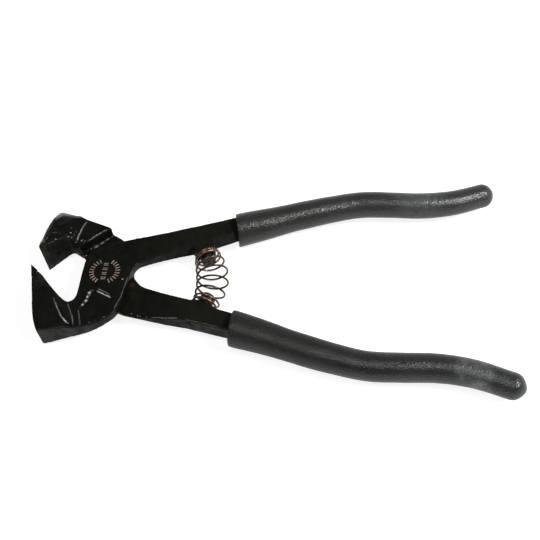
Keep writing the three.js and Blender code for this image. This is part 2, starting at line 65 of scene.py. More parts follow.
# Camera: fitted to the outlines of the grips and the jaws in the photograph
def make_camera():
    azimuth, elevation, roll = 0.100723, 0.928015, -0.058896
    target = Vector((71.6026, 3.7309, -4.5)) * MM
    distance, focal_pixels, image_pixels = 0.31538, 722.501, 540
    level = math.cos(elevation)
    back = Vector((level * math.sin(azimuth), -level * math.cos(azimuth), math.sin(elevation)))
    side = Vector((0, 0, 1)).cross(back).normalized()
    up = back.cross(side)
    c, s = math.cos(roll), math.sin(roll)
    side, up = c * side + s * up, c * up - s * side
    data = bpy.data.cameras.new("camera")
    data.sensor_width = 36
    data.lens = data.sensor_width * focal_pixels / image_pixels
    data.clip_start, data.clip_end = 0.01, 20
    camera = bpy.data.objects.new("camera", data)
    bpy.context.collection.objects.link(camera)
    camera.matrix_world = Matrix((side, up, back)).transposed().to_4x4()
    camera.location = target + distance * back
    bpy.context.scene.camera = camera


make_camera()


# Meshes
def link(obj):
    bpy.context.collection.objects.link(obj)
    return obj


def mesh_object(name, verts, faces, smooth=True):
    mesh = bpy.data.meshes.new(name)
    mesh.from_pydata([tuple(v) for v in verts], [], [tuple(f) for f in faces])
    mesh.validate()
    if smooth:
        mesh.shade_smooth()
    return link(bpy.data.objects.new(name, mesh))


def bake_modifiers(obj):
    bpy.context.view_layer.update()
    graph = bpy.context.evaluated_depsgraph_get()
    mesh = bpy.data.meshes.new_from_object(obj.evaluated_get(graph))
    obj.modifiers.clear()
    obj.data = mesh
    return obj


def write_marks(mesh, name, values):
    """Stores one value from 0 to 1 on each point for a material to read."""
    layer = mesh.attributes.new(name, "FLOAT", "POINT")
    layer.data.foreach_set("value", np.clip(values, 0, 1).astype(np.float32))


def get_points(mesh):
    points = np.empty(len(mesh.vertices) * 3)
    mesh.vertices.foreach_get("co", points)
    return points.reshape(-1, 3) / MM


def get_normals(mesh):
    normals = np.empty(len(mesh.vertices) * 3)
    mesh.vertices.foreach_get("normal", normals)
    return normals.reshape(-1, 3)


def set_points(mesh, points):
    """Moves a mesh's points to places in mm, held inside the box of the construction."""
    inside = np.clip(points * MM, CAD_BOX[0], CAD_BOX[1])
    mesh.vertices.foreach_set("co", inside.ravel())
    mesh.update()


def skin_faces(ring_count, sides, first=0):
    """Faces over rings of points, numbered on from first, with both ends closed."""
    faces = []
    for r in range(ring_count - 1):
        for i in range(sides):
            a, b = first + r * sides + i, first + r * sides + (i + 1) % sides
            faces.append((a, b, b + sides, a + sides))
    faces.append(tuple(first + i for i in range(sides - 1, -1, -1)))
    faces.append(tuple(first + (ring_count - 1) * sides + i for i in range(sides)))
    return faces


def face_outwards(obj):
    edit = bmesh.new()
    edit.from_mesh(obj.data)
    bmesh.ops.recalc_face_normals(edit, faces=edit.faces)
    edit.to_mesh(obj.data)
    edit.free()
    return obj


def lofted(name, rings):
    """A closed skin over rings of points in mm, with its faces pointing out."""
    faces = skin_faces(len(rings), len(rings[0]))
    return face_outwards(mesh_object(name, np.concatenate(rings) * MM, faces))


NOISE_GRID = 32


def value_noise(points, size, seed):
    """Smooth noise from -1 to 1 at points in mm, with bumps about size mm across."""
    grid = np.random.default_rng(seed).uniform(-1, 1, (NOISE_GRID,) * 3)
    q = points / size
    base = np.floor(q).astype(int)
    t = q - base
    t = t * t * (3 - 2 * t)
    total = np.zeros(len(points))
    for corner in np.ndindex(2, 2, 2):
        share = np.where(corner, t, 1 - t)
        x, y, z = ((base + corner) % NOISE_GRID).T
        total += share[:, 0] * share[:, 1] * share[:, 2] * grid[x, y, z]
    return total


def uneven(points, layers):
    """Layers of noise at points in mm, each given by its height, size and seed."""
    return sum(height * value_noise(points, size, seed) for height, size, seed in layers)


def smoothstep(low, high, value):
    """0 at low and 1 at high, which may lie below low."""
    t = np.clip((value - low) / (high - low), 0, 1)
    return t * t * (3 - 2 * t)


# Lines in plan, as rows of XY points in mm
def run_along(line):
    """The length of a line up to each of its points."""
    return np.concatenate([[0], np.cumsum(np.linalg.norm(np.diff(line, axis=0), axis=1))])


def point_at(line, run, distance):
    """The point at a distance along a line, where run is its length up to each of its points."""
    return np.array([np.interp(distance, run, line[:, k]) for k in (0, 1)])


def heading_at(line, run, distance, reach):
    """The unit direction of a line at a distance along it, taken over reach to both sides."""
    step = point_at(line, run, min(distance + reach, run[-1])) - point_at(line, run, max(distance - reach, 0))
    return step / np.linalg.norm(step)


def resampled(line, step):
    line = np.array(line, float)
    run = run_along(line)
    return point_at(line, run, np.linspace(0, run[-1], int(run[-1] / step) + 2)).T


# Node helpers
class Nodes:
    """A node tree, emptied and built anew."""

    def __init__(self, tree, output_kind):
        self.tree = tree
        tree.nodes.clear()
        self.output = tree.nodes.new(output_kind)

    def node(self, kind, inputs=None, **settings):
        made = self.tree.nodes.new(kind)
        for key, value in settings.items():
            setattr(made, key, value)
        for key, value in (inputs or {}).items():
            self.feed(made.inputs[key], value)
        return made

    def feed(self, socket, value):
        if isinstance(value, bpy.types.NodeSocket):
            self.tree.links.new(value, socket)
        else:
            socket.default_value = value

    def show(self, shader):
        self.tree.links.new(shader.outputs[0], self.output.inputs["Surface"])

    def math(self, operation, a, b):
        return self.node("ShaderNodeMath", {0: a, 1: b}, operation=operation).outputs[0]

    def times(self, a, b):
        return self.math("MULTIPLY", a, b)

    def ramp(self, value, low, high, start=0.0, end=1.0):
        """start where value is low and end where it is high, held beyond both."""
        inputs = {"Value": value, "From Min": low, "From Max": high, "To Min": start, "To Max": end}
        return self.node("ShaderNodeMapRange", inputs, clamp=True).outputs[0]


class Shader(Nodes):
    """A material, with its sizes in mm."""

    def __init__(self, name):
        self.material = bpy.data.materials.new(name)
        self.material.use_nodes = True
        super().__init__(self.material.node_tree, "ShaderNodeOutputMaterial")
        self.place = self.node("ShaderNodeTexCoord").outputs["Object"]

    def axes(self):
        """The places along the tool, across it and up, in metres."""
        return self.node("ShaderNodeSeparateXYZ", {"Vector": self.place}).outputs

    def noise(self, size_mm, detail=3.0, roughness=0.55):
        inputs = {"Vector": self.place, "Scale": 1 / (size_mm * MM), "Detail": detail, "Roughness": roughness}
        return self.node("ShaderNodeTexNoise", inputs).outputs[0]

    def cells(self, size_mm):
        """The distance to the middle of the nearest cell, in parts of a cell."""
        inputs = {"Vector": self.place, "Scale": 1 / (size_mm * MM)}
        return self.node("ShaderNodeTexVoronoi", inputs).outputs["Distance"]

    def mix(self, amount, a, b):
        return self.node("ShaderNodeMix", {0: amount, 6: a, 7: b}, data_type="RGBA").outputs[2]

    def near(self, centre_mm, radius_mm, soft_mm):
        """1 within radius of a point in mm, fading to 0 over soft."""
        centre = tuple(c * MM for c in centre_mm)
        gap = self.node("ShaderNodeVectorMath", {0: self.place, 1: centre}, operation="DISTANCE")
        return self.ramp(gap.outputs["Value"], (radius_mm + soft_mm) * MM, radius_mm * MM)

    def marks(self, name):
        """A value written on the mesh's points."""
        return self.node("ShaderNodeAttribute", attribute_name=name).outputs["Fac"]

    def bump(self, heights):
        """heights is a list of (height socket, depth in mm)."""
        normal = None
        for height, depth_mm in heights:
            inputs = {"Height": height, "Distance": depth_mm * MM, "Strength": 1.0}
            if normal is not None:
                inputs["Normal"] = normal
            normal = self.node("ShaderNodeBump", inputs).outputs["Normal"]
        return normal

    def finish(self, color, rough, normal, metal=0.0, specular=0.5):
        self.show(self.node("ShaderNodeBsdfPrincipled", {
            "Base Color": color, "Roughness": rough, "Normal": normal, "Metallic": metal,
            "Specular IOR Level": specular,
        }))
        return self.material


def rgb(r, g, b):
    """A colour given by its 0 to 255 screen values."""
    def linear(c):
        c /= 255
        return c / 12.92 if c <= 0.04045 else ((c + 0.055) / 1.055) ** 2.4
    return (linear(r), linear(g), linear(b), 1.0)


# Materials
def black_paint(name, chips=(), scuffs=(), painted_sheens=(), dulls=()):
    """Gloss black paint over a forging, broken at chips, rubbed at scuffs, with a painted highlight over a
    ground face at painted_sheens and dull at dulls. Each is a place in mm, its radius, its soft edge, then
    its colour or amount."""
    s = Shader(name)
    along = s.axes()["X"]
    color = s.mix(s.ramp(s.noise(7, 4, 0.6), 0.35, 0.7), rgb(15, 16, 12), rgb(24, 26, 19))
    color = s.mix(s.ramp(along, 10 * MM, 35 * MM, 0.0, 0.3), color, rgb(42, 43, 34))
    specks = s.times(s.ramp(s.cells(2.3), 0.07, 0.03), s.ramp(s.noise(9, 2), 0.5, 0.6))
    color = s.mix(s.times(specks, 0.6), color, rgb(92, 92, 88))
    # Marked ridge crests and spots: a near-white painted highlight, partly wear
    wear_and_highlight = s.times(s.marks("wear_and_highlight"), s.ramp(s.noise(0.9, 3, 0.6), 0.3, 0.55, 0.35, 1.0))
    color = s.mix(wear_and_highlight, color, rgb(206, 204, 208))
    for *place, tint in chips:
        color = s.mix(s.times(s.near(*place), s.ramp(s.noise(0.55, 3, 0.7), 0.46, 0.54)), color, tint)
    for *place, tint in scuffs:
        worn = s.times(s.near(*place), s.ramp(s.noise(1.6, 4, 0.7), 0.3, 0.7))
        color = s.mix(s.times(worn, 0.6), color, tint)
    # Painted highlight: a smooth pale tint for light reflected off a ground face
    for *place, tint, amount in painted_sheens:
        color = s.mix(s.times(s.near(*place), amount), color, tint)
    rough = s.math("ADD", s.ramp(s.noise(3, 4, 0.6), 0.3, 0.75, 0.24, 0.38), s.times(wear_and_highlight, 0.15))
    gloss = s.ramp(along, 4 * MM, 26 * MM, 0.26, 0.16)
    gloss = s.times(gloss, s.ramp(s.noise(4.2, 3, 0.6), 0.36, 0.66, 0.4, 1.1))
    streaks = s.ramp(s.noise(1.4, 4, 0.7), 0.35, 0.6, 1.0, 0.4)
    for *place, amount in dulls:
        lost = s.times(s.near(*place), s.times(streaks, amount))
        gloss = s.times(gloss, s.math("SUBTRACT", 1.0, lost))
        rough = s.math("ADD", rough, s.times(lost, 0.3))
    peel = s.times(s.noise(1.1, 3, 0.6), s.ramp(along, 0.0, -12 * MM))
    pits = s.times(s.ramp(s.cells(1.1), 0.16, 0.05), s.ramp(s.noise(5, 3), 0.52, 0.66))
    normal = s.bump([(s.noise(3.4, 3, 0.5), 0.16), (peel, 0.08), (s.noise(0.5, 3, 0.6), 0.02),
                     (s.math("SUBTRACT", 1.0, pits), 0.09)])
    return s.finish(color, rough, normal, specular=gloss)


# Near the grips' ends: painted highlights, the front one partly wear, and a scrape; near the rear mouth, a
# matt stretch
REAR_END_HIGHLIGHT, FRONT_END_HIGHLIGHT = ((153.0, -46.0, 0.5), 6, 2.5), ((138, 45, 0), 5, 9)
REAR_SCRAPED = ((155.0, -52.5, -5.0), 3.2, 2.4)
REAR_MATT = ((72, -25, -4), 22, 20)


def vinyl():
    """Dipped grey vinyl with a pebble grain and painted sparkle on its crests, lighter towards its end, with
    painted highlights near both ends, the front one partly wear, and scraped and matt in places.
    """
    s = Shader("grey_vinyl")
    along, across, _ = s.axes()
    patchy = s.ramp(s.noise(11, 4, 0.6), 0.35, 0.7)
    at_mouth = s.mix(patchy, rgb(25, 26, 23), rgb(33, 34, 30))
    at_end = s.mix(patchy, rgb(42, 44, 43), rgb(54, 57, 57))
    color = s.mix(s.ramp(along, 85 * MM, 165 * MM), at_mouth, at_end)
    color = s.mix(s.ramp(across, -20 * MM, 20 * MM, 0.0, 0.16), color, rgb(92, 94, 90))
    # Painted sparkle: pale dots on the grain's crests that stand in for glints of light
    crest_sparkle = s.times(s.ramp(s.cells(0.6), 0.32, 0.1), s.ramp(s.noise(1.7, 2), 0.35, 0.6))
    color = s.mix(s.times(crest_sparkle, 0.5), color, rgb(112, 114, 110))
    # Painted highlights: pale bluish patches near both grips' ends, the front one partly wear
    end_highlights = s.math("MAXIMUM", s.near(*REAR_END_HIGHLIGHT), s.near(*FRONT_END_HIGHLIGHT))
    end_highlights = s.times(end_highlights, s.ramp(s.noise(2.4, 4, 0.7), 0.36, 0.6, 0.3, 1.0))
    color = s.mix(s.times(end_highlights, 0.6), color, rgb(113, 114, 117))
    scraped = s.times(s.near(*REAR_SCRAPED), s.ramp(s.noise(1.8, 4, 0.7), 0.36, 0.58))
    color = s.mix(s.times(scraped, 0.8), color, rgb(164, 152, 148))
    rough = s.math("ADD", s.ramp(s.noise(5, 3), 0.3, 0.7, 0.25, 0.33), s.times(s.near(*REAR_MATT), 0.14))
    pebble = s.ramp(s.cells(0.68), 0.0, 0.75)
    normal = s.bump([(pebble, 0.09), (s.noise(0.8, 2, 0.6), 0.05), (s.noise(14, 2), 0.4)])
    return s.finish(color, rough, normal, specular=0.6)


def spring_wire():
    """Nearly black wire, worn and with a painted coppery highlight on its closed end turns."""
    s = Shader("bronzed_wire")
    color = s.mix(s.ramp(s.noise(3.2, 4, 0.6), 0.35, 0.68), rgb(52, 42, 37), rgb(126, 103, 92))
    # Closed end turns: a coppery painted highlight over wear, from the marks written on the wire
    worn = s.times(s.marks("wear_and_highlight"), s.ramp(s.noise(1.6, 3, 0.6), 0.35, 0.6, 0.2, 1.0))
    color = s.mix(worn, color, rgb(164, 133, 118))
    rough = s.ramp(s.noise(1.5, 3), 0.3, 0.7, 0.18, 0.32)
    return s.finish(color, rough, s.bump([(s.noise(0.25, 3, 0.6), 0.008)]), metal=0.8)


def peg_steel():
    """Dark steel, paler in patches."""
    s = Shader("peg_steel")
    color = s.mix(s.ramp(s.noise(1.8, 4, 0.65), 0.45, 0.68), rgb(24, 23, 22), rgb(98, 88, 84))
    rough = s.ramp(s.noise(0.9, 3), 0.3, 0.7, 0.3, 0.5)
    return s.finish(color, rough, s.bump([(s.noise(0.5, 3, 0.6), 0.02)]), metal=0.6)


def tick_paint():
    """Pale coppery paint, thin in places."""
    s = Shader("tick_paint")
    color = s.mix(s.ramp(s.noise(0.7, 3, 0.7), 0.42, 0.62), rgb(190, 166, 152), rgb(120, 104, 94))
    return s.finish(color, 0.45, s.bump([(s.noise(0.3, 3, 0.6), 0.02)]))


# Dressing
def cad_copy(name, node):
    return link(bpy.data.objects.new(name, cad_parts[node].data.copy()))


def softened_copy(name, node, voxel_mm, passes):
    """A finer copy of a CAD piece, with its edges softened by passes of smoothing."""
    obj = cad_copy(name, node)
    remesh = obj.modifiers.new("remesh", "REMESH")
    remesh.mode = "VOXEL"
    remesh.voxel_size = voxel_mm * MM
    relax = obj.modifiers.new("relax", "SMOOTH")
    relax.factor, relax.iterations = 0.5, passes
    bake_modifiers(obj)
    obj.data.shade_smooth()
    return obj


def dress(obj, body, material, node=None):
    """Gives a piece its material, the body it rides, the CAD node it replaces, if any."""
    obj.data.materials.clear()
    obj.data.materials.append(material)
    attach(obj, body)
    if node:
        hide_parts(node)
    return obj


# Levers: the forging's shape from the CAD solid, with softened edges, small dents and an uneven skin
LEVER_VOXEL, LEVER_PASSES = ((0.32, 7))
FORGED_SKIN = ((0.05, 2.6, 1), (0.035, 1.1, 2))
DENT_REACH = 2.5  # how far a face may lie from a dent's level to be marked by it


def dressed_lever(name, node, body, dents, material):
    """dents are a place in plan, half width, height and level, raised or sunk in the upper faces."""
    obj = softened_copy(name, node, LEVER_VOXEL, LEVER_PASSES)
    points, normals = get_points(obj.data), get_normals(obj.data)
    facing_up = smoothstep(0.25, 0.7, normals[:, 2])
    offset = uneven(points, FORGED_SKIN)
    for (x, y), width, height, level in dents:
        gap = np.hypot(points[:, 0] - x, points[:, 1] - y)
        here = facing_up * (np.abs(points[:, 2] - level) < DENT_REACH)
        offset += here * height * np.exp(-((gap / width) ** 2))
    set_points(obj.data, points + normals * offset[:, None])
    return dress(obj, body, material, node)


RIDGE_STEP, RIDGE_POINTS = 0.16, 9  # mm between its sections, and points across each
RIDGE_WANDER, WANDER_SIZE, WANDER_SEED = 0.12, 1.3, 31
RIDGE_SUNK, RIDGE_FOOT = 0.05, 0.9  # its edges below the skin, and its foot below its top
ABOVE_TOOL = 20


def add_ridges(name, body, skin, ridges, material):
    """Lays narrow beads of forging flash on the upper faces of a skin, worn and with a painted highlight
    along their crests.
    """
    corners = [v.co for v in skin.data.vertices]
    tree = BVHTree.FromPolygons(corners, [f.vertices[:] for f in skin.data.polygons])
    across_steps = np.linspace(-1, 1, RIDGE_POINTS)
    points, faces, wear_and_highlight = [], [], []
    for number, (line, width, height, beads, wear_and_shine) in enumerate(ridges):
        line = resampled(line, RIDGE_STEP)
        heading = np.gradient(line, axis=0)
        heading /= np.linalg.norm(heading, axis=1)[:, None]
        across = np.column_stack([-heading[:, 1], heading[:, 0]])
        wander = value_noise(np.column_stack([line, np.full(len(line), number)]), WANDER_SIZE, WANDER_SEED)
        rings = []
        ground = 0.0
        for i, point in enumerate(line):
            place = i / (len(line) - 1)
            bead = 1 if not beads else 0.5 + 0.5 * math.cos(2 * math.pi * (beads * place + 0.1 * wander[i]))
            fade = min(1, 8 * place, 8 * (1 - place))
            w = width * (0.35 + 0.65 * fade) * (0.75 + 0.25 * bead) * (1 + 0.2 * wander[i])
            ring = []
            for u in across_steps:
                x, y = point + across[i] * (u * w + RIDGE_WANDER * wander[i])
                hit = tree.ray_cast(Vector((x, y, ABOVE_TOOL)) * MM, Vector((0, 0, -1)))[0]
                ground = hit.z / MM if hit else ground
                ring.append([x, y, ground + height * fade * (0.4 + 0.6 * bead) * (1 - u * u) - RIDGE_SUNK])
            foot = max(p[2] for p in ring) - RIDGE_FOOT
            ring += [[*ring[-1][:2], foot], [*ring[0][:2], foot]]
            rings.append(np.array(ring))
            # How much painted highlight and wear each point of the crest gets
            shine = (wear_and_shine[0] + (wear_and_shine[1] - wear_and_shine[0]) * place) * fade * bead * (1 + 0.3 * wander[i])
            wear_and_highlight.extend([shine * (1 - (u - 0.1) ** 2) ** 3 for u in across_steps] + [0, 0])
        faces += skin_faces(len(rings), len(rings[0]), len(points))
        points.extend(np.concatenate(rings))
    obj = face_outwards(mesh_object(name, np.array(points) * MM, faces))
    write_marks(obj.data, "wear_and_highlight", np.array(wear_and_highlight))
    dress(obj, body, material)


# Each ridge: its line, half width, height, number of beads, and how much wear and painted highlight it has at
# its start and end
FRONT_RIDGES = [
    ([(-18.5, -17.2), (-16.8, -20.4), (-14.9, -23.6), (-13.1, -26.3), (-11.2, -28.5), (-8.8, -29.9)],
     0.45, 0.34, 0, (0.12, 1.0)),
    ([(-12.2, -18.8), (-11.7, -20.2), (-10.3, -22.7), (-9.1, -25.1), (-7.8, -28.6), (-7.3, -30.5)],
     0.42, 0.3, 0, (0.22, 0.3)),
    ([(-7.0, -22.1), (-6.2, -24.6), (-5.3, -27.5), (-4.4, -30.6)], 0.42, 0.3, 0, (0.3, 0.1)),
    ([(-3.6, -11.8), (-4.2, -14.4), (-4.6, -17.5), (-5.6, -19.8), (-6.7, -21.6)], 0.85, 0.4, 5, (1.5, 0.9)),
    ([(-2.6, -12.0), (-3.3, -13.8), (-3.7, -15.6)], 0.3, 0.3, 2, (1.3, 1.0)),
    ([(-1.3, -12.7), (2.0, -14.2), (5.8, -16.1)], 0.5, 0.3, 0, (1.1, 1.4)),
    ([(-1.1, -11.4), (2.2, -12.9), (5.3, -14.6)], 0.3, 0.16, 0, (0.6, 0.5)),
    ([(11.2, -3.0), (10.9, -5.6), (10.25, -10.5), (9.8, -15.0), (8.4, -20.0), (7.2, -23.0)],
     0.22, 0.07, 0, (0.3, 0.55)),
    ([(7.2, -23.0), (3.1, -26.6), (-1.3, -29.1), (-4.5, -29.8)], 0.18, 0.05, 0, (0.3, 0.12)),
]
REAR_RIDGES = [
    ([(-13.0, 26.0), (-14.0, 23.0), (-14.7, 19.9), (-15.2, 16.7), (-15.4, 13.6)], 0.5, 0.34, 0, (0.45, 0.7)),
    ([(-2.6, 21.7), (-5.0, 19.5), (-8.1, 16.8), (-10.9, 13.7)], 0.4, 0.24, 0, (0.4, 0.2)),
    ([(-4.4, 20.1), (-8.1, 16.8), (-9.6, 15.3)], 0.45, 0.3, 4, (0.8, 1.2)),
    ([(-0.9, 21.4), (-3.6, 18.7), (-5.9, 16.4), (-8.3, 14.2), (-10.0, 12.6)], 0.6, 0.4, 4, (0.3, 0.75)),
    ([(22.0, -22.85), (29.5, -23.85), (36.0, -24.5)], 0.2, 0.08, 0, (0.25, 0.75)),
    ([(37.0, -24.9), (42.4, -26.2), (54.0, -28.9)], 0.2, 0.08, 0, (0.35, 0.2)),
]
# Small spots, some painted glints and some rubbed chips: place, half width and how much wear and painted
# highlight
FRONT_SPOTS = [
    ((9.0, -6.4), 0.4, 1.0), ((4.6, -25.6), 0.3, 0.4), ((1.2, -27.4), 0.25, 0.4), ((-1.0, -28.6), 0.3, 0.35),
]
REAR_SPOTS = [
    ((-24.0, 12.8), 0.32, 1.0), ((-25.2, 16.2), 0.3, 0.4), ((-24.3, 16.4), 0.25, 0.3),
    ((-18.7, 17.7), 0.35, 0.6), ((-17.7, 15.5), 0.35, 0.6), ((-19.1, 15.5), 0.35, 0.55),
    ((-17.0, 17.1), 0.28, 0.5), ((-13.2, 14.5), 0.5, 0.6), ((-11.8, 14.2), 0.35, 0.45),
    ((-11.5, 9.4), 0.5, 0.8), ((-15.8, 13.2), 0.3, 0.45), ((-18.9, 20.4), 0.3, 0.4),
    ((14.4, -20.8), 0.3, 0.8), ((17.2, -21.8), 0.28, 0.8), ((18.3, -22.1), 0.22, 0.7),
    ((21.2, -22.6), 0.3, 0.7), ((-25.7, 15.8), 0.22, 0.5), ((-24.8, 16.8), 0.2, 0.55),
    ((-22.9, 16.5), 0.2, 0.5), ((-16.5, 18.9), 0.22, 0.7), ((-19.5, 15.3), 0.2, 0.6),
    ((-17.9, 15.1), 0.2, 0.6), ((-15.6, 15.7), 0.22, 0.8), ((-20.2, 16.2), 0.18, 0.6),
    ((-13.3, 14.1), 0.25, 0.8), ((-12.1, 13.4), 0.2, 0.7), ((-15.4, 13.3), 0.2, 0.6),
    ((-9.8, 13.6), 0.25, 0.7),
]
SPOT_HEIGHT = 0.14
for ridges, spots in ((FRONT_RIDGES, FRONT_SPOTS), (REAR_RIDGES, REAR_SPOTS)):
    for (x, y), size, wear_and_shine in spots:
        line = [(x - 1.2 * size, y), (x + 1.2 * size, y + 0.3 * size)]
        ridges.append((line, size, SPOT_HEIGHT, 0, (wear_and_shine, wear_and_shine)))
REAR_DENTS = [((-15.4, 19.0), 0.8, -0.2, 0.4), ((-17.8, 20.5), 0.6, 0.2, 1.0), ((-13.6, 12.5), 0.8, 0.3, 0)]
FRONT_DENTS = [((-20, -15), 0.8, -0.15, 2), ((-16, -28), 1.4, -0.15, 0.8)]

front_paint = black_paint(
    "front_paint",
    scuffs=[((-26, -8, 3.5), 2, 5, rgb(56, 46, 52))],
    dulls=[((40.0, 14.0, -7.5), 10, 10, 0.8)],
)
rear_paint = black_paint(
    "rear_paint",
    chips=[((-28.3, 12.6, 3.6), 0.35, 0.8, rgb(176, 142, 98))],
    scuffs=[((11.8, -5.8, -4.7), 0.6, 1.8, rgb(96, 46, 36))],
    # Painted highlights of reflected light on the ground bevel of the rear jaw's outer edge
    painted_sheens=[
        ((-26.0, 35.0, -1.5), 2.0, 7.0, rgb(172, 172, 168), 0.8),
        ((-21.5, 32.4, -2.4), 0.2, 5, rgb(160, 160, 156), 0.7),
    ],
    dulls=[
        ((-32.0, 19.0, -1.0), 7.5, 5, 1.0), ((-19.0, 13.5, -5.0), 6, 3, 0.6), ((-26.0, 9.0, -4.0), 4, 4, 0.5),
        ((-12.0, 11.0, -4.0), 4, 3, 0.9), ((34.0, -25.0, -8.0), 8, 8, 0.4),
    ],
)

front_lever = dressed_lever("front_forging", "front_lever", "front", FRONT_DENTS, front_paint)
add_ridges("front_flash", "front", front_lever, FRONT_RIDGES, front_paint)
rear_lever = dressed_lever("rear_forging", "rear_lever", "rear", REAR_DENTS, rear_paint)
add_ridges("rear_flash", "rear", rear_lever, REAR_RIDGES, rear_paint)


# Carbide tips: crisp, ground and painted over with the jaws
TIP_BEVEL, TIP_BEVEL_STEPS, TIP_CUTS = 0.12, 3, 3


def dressed_tip(name, node, body, material):
    obj = cad_copy(name, node)
    weld = obj.modifiers.new("weld", "WELD")
    weld.merge_threshold = 1e-6
    bevel = obj.modifiers.new("bevel", "BEVEL")
    bevel.width, bevel.segments, bevel.limit_method = TIP_BEVEL * MM, TIP_BEVEL_STEPS, "ANGLE"
    bevel.angle_limit = math.radians(20)
    bake_modifiers(obj)
    edit = bmesh.new()
    edit.from_mesh(obj.data)
    bmesh.ops.subdivide_edges(edit, edges=edit.edges[:], cuts=TIP_CUTS, use_grid_fill=True)
    edit.to_mesh(obj.data)
    edit.free()
    obj.data.shade_smooth()
    obj.data.set_sharp_from_angle(angle=math.radians(35))
    dress(obj, body, material, node)


tip_paint = black_paint(
    "tip_paint",
    chips=[((-28.8, 11.0, 3.4), 0.45, 0.9, rgb(186, 146, 96))],
    scuffs=[((-27.5, 7.5, -1), 2.5, 6, rgb(64, 64, 60))],
    dulls=[((-28.0, 9.0, -4.0), 5, 5, 0.5)],
)
dressed_tip("front_tip", "front_carbide_tip", "front", tip_paint)
dressed_tip("rear_tip", "rear_carbide_tip", "rear", tip_paint)


# Grips
GRIP_START_X, GRIP_END_X = 56.4, 167.9
GRIP_BEND_Y = [26.1, 30.5, 35.2, 39.4, 42.5, 42.8, 42.6, 44.6, 49.4]
MOUTH_SHIFT, MOUTH_STAGGER, MOUTH_SKEW, MOUTH_BLEND = 0.5, 0.8, 0.15, 12
GRIP_RADII = [7.56, 6.44, 6.0, 5.86, 5.45]
GRIP_SIDES, GRIP_SECTIONS = 64, 150
# The rolled lip from inside the mouth outwards: how deep, and how far inside the mouth's radius
GRIP_LIP = (
    (6.0, 1.6), (3.0, 1.45), (1.2, 1.3), (0.45, 1.1), (0.08, 0.75), (0.0, 0.5), (0.1, 0.22), (0.35, 0.06),
)
LIP_END = 0.8
END_ANGLES = (8, 16, 24, 32, 40, 48, 56, 64, 72, 79, 85, 88.5)
END_REACH_POWER, END_RADIUS_POWER = 2.2, 0.72  # 2 and 0.5 would make half a ball
GRIP_SKIN = ((0.06, 9, 11), (0.03, 4, 12))
HEADING_REACH = 0.6
HANDLE_Z = -4.5


def catmull_rom(points, samples=40):
    """The centripetal curve through points in the plane, as a fine polyline."""
    points = [np.array(p, float) for p in points]
    first = 2 * points[0] - points[1]
    last = 2 * points[-1] - points[-2]
    padded = [first, *points, last]
    fine = []
    for p0, p1, p2, p3 in zip(padded, padded[1:], padded[2:], padded[3:]):
        d1, d2, d3 = (math.sqrt(np.linalg.norm(b - a)) for a, b in ((p0, p1), (p1, p2), (p2, p3)))
        m1 = ((p1 - p0) / d1 - (p2 - p0) / (d1 + d2) + (p2 - p1) / d2) * d2
        m2 = ((p2 - p1) / d2 - (p3 - p1) / (d2 + d3) + (p3 - p2) / d3) * d2
        for t in np.linspace(0, 1, samples, endpoint=False):
            a, b = 2 * t**3 - 3 * t**2 + 1, t**3 - 2 * t**2 + t
            c, d = -2 * t**3 + 3 * t**2, t**3 - t**2
            fine.append(a * p1 + b * m1 + c * p2 + d * m2)
    fine.append(points[-1])
    return np.array(fine)


class GripLine:
    """A grip's centre line by distance in mm from its mouth. side is 1 in front, -1 behind."""

    def __init__(self, side):
        step = (GRIP_END_X - GRIP_START_X) / (len(GRIP_BEND_Y) - 1)
        points = [(GRIP_START_X + i * step, side * y) for i, y in enumerate(GRIP_BEND_Y)]
        points[0] = (points[0][0] - side * MOUTH_STAGGER, points[0][1] - MOUTH_SHIFT)
        self.line = catmull_rom(points)
        self.run = run_along(self.line)
        self.length = self.run[-1]

    def ring(self, distance, radius):
        """A round section, set askew near the mouth and straight on beyond both ends."""
        inside = min(max(distance, 0), self.length)
        heading = heading_at(self.line, self.run, inside, HEADING_REACH)
        centre = point_at(self.line, self.run, inside) + heading * (distance - inside)
        skew = math.copysign(MOUTH_SKEW, heading[1]) * min(max(1 - distance / MOUTH_BLEND, 0), 1)
        across = np.array([-heading[1], heading[0]]) + heading * skew
        angles = np.linspace(0, 2 * math.pi, GRIP_SIDES, endpoint=False)
        plan = centre + radius * np.cos(angles)[:, None] * across
        return np.column_stack([plan, HANDLE_Z + radius * np.sin(angles)])


def grip_radius(u):
    """Radius at a share of the grip's length."""
    place = min(max(u, 0), 1) * (len(GRIP_RADII) - 1)
    i = min(int(place), len(GRIP_RADII) - 2)
    t = place - i
    return GRIP_RADII[i] + (GRIP_RADII[i + 1] - GRIP_RADII[i]) * t * t * (3 - 2 * t)


vinyl_material = vinyl()


def dressed_grip(name, node, body, side):
    """A dipped sleeve: open at the mouth, with a rounded lip, and closed and round at its end."""
    line = GripLine(side)
    rings = [line.ring(depth, grip_radius(0) - inset) for depth, inset in GRIP_LIP]
    for i in range(GRIP_SECTIONS + 1):
        distance = LIP_END + (line.length - LIP_END) * i / GRIP_SECTIONS
        rings.append(line.ring(distance, grip_radius(distance / line.length)))
    end = grip_radius(1)
    for angle in np.radians(END_ANGLES):
        reach = math.sin(angle)
        radius = end * (1 - reach**END_REACH_POWER) ** END_RADIUS_POWER
        rings.append(line.ring(line.length + end * reach, radius))
    obj = lofted(name, rings)
    points, normals = get_points(obj.data), get_normals(obj.data)
    set_points(obj.data, points + normals * uneven(points, GRIP_SKIN)[:, None])
    dress(obj, body, vinyl_material, node)


dressed_grip("front_sleeve", "front_grip", "front", 1)
dressed_grip("rear_sleeve", "rear_grip", "rear", -1)


